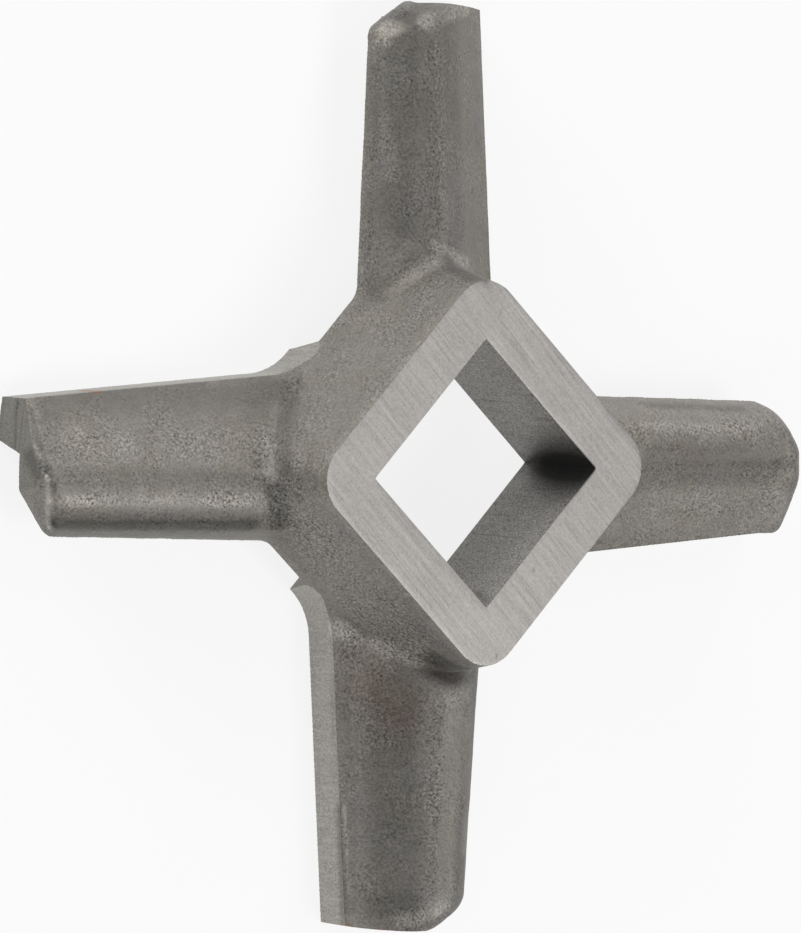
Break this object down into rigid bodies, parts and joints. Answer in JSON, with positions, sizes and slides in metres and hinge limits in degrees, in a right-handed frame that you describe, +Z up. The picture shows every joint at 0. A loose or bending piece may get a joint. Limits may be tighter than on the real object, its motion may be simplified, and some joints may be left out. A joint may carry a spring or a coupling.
{
  "type": "meat grinder knife",
  "caption": "Cross-shaped one-sided cutter with a square drive hole in a raised boss, ground leading edges and raised cutting lands on its flat side.",
  "frame": {"origin": "on the axis of the square drive hole, in the plane of the cutting lands", "axes": "+Z up the hole axis towards the boss; X and Y square to the sides of the drive hole, so the arms point along the diagonals"},
  "size_m": [0.0386, 0.0386, 0.0087],
  "materials": {
    "cast_steel": "grit-blasted casting, with ground cutting faces"
  },
  "bodies": {
    "root": {"grinder_knife": "cast_steel"}
  },
  "joints": []
}
